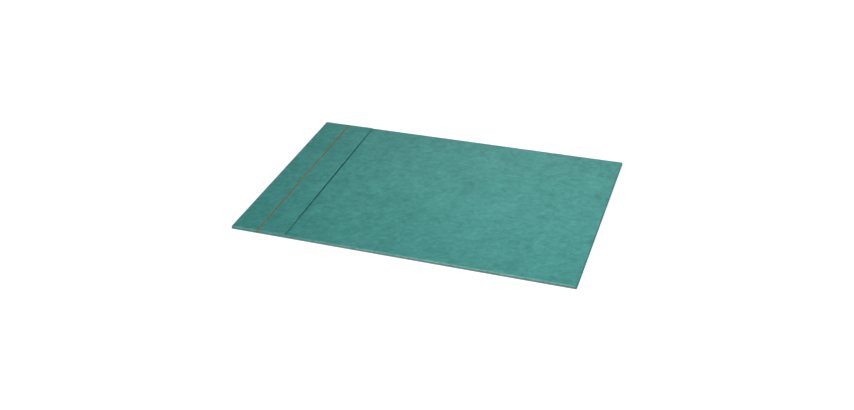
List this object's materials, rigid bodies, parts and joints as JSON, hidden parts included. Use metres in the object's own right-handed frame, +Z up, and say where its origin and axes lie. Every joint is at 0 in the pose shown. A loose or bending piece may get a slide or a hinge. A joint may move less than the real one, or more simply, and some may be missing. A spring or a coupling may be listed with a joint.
{
  "type": "desk pad",
  "caption": "Flat rectangular leatherette desk pad with a board core and a sewn side flap that lifts to hold loose sheets, for writing on and protecting a desk top.",
  "frame": {"origin": "on the desk under the middle of the pad", "axes": "+X along the pad's width, away from the flap; +Y from the user to the far edge; +Z up"},
  "size_m": [0.6, 0.4006, 0.0049],
  "materials": {
    "leatherette": "teal leatherette, mottled, fine crease grain, soft sheen",
    "grey_board": "plain grey board",
    "filler_card": "plain card",
    "suede_backing": "matt short-nap suede cloth, charcoal",
    "lining_cloth": "matt woven lining, dark teal",
    "ochre_thread": "twisted polyester sewing thread, ochre"
  },
  "bodies": {
    "pad": {"core_board": "grey_board", "pad_cover": "leatherette", "underside_filler": "filler_card", "backing_sheet": "suede_backing", "flap_band": "leatherette", "needle_thread": "ochre_thread", "bobbin_thread": "ochre_thread"},
    "flap": {"flap_leaf": "leatherette", "flap_lining": "lining_cloth"}
  },
  "joints": [
    {"name": "flap_lift", "type": "hinge", "parent": "pad", "child": "flap", "pos_m": [-0.24875, 0, 0.00495], "axis": [0, -1, 0], "range_deg": [0, 120]}
  ]
}
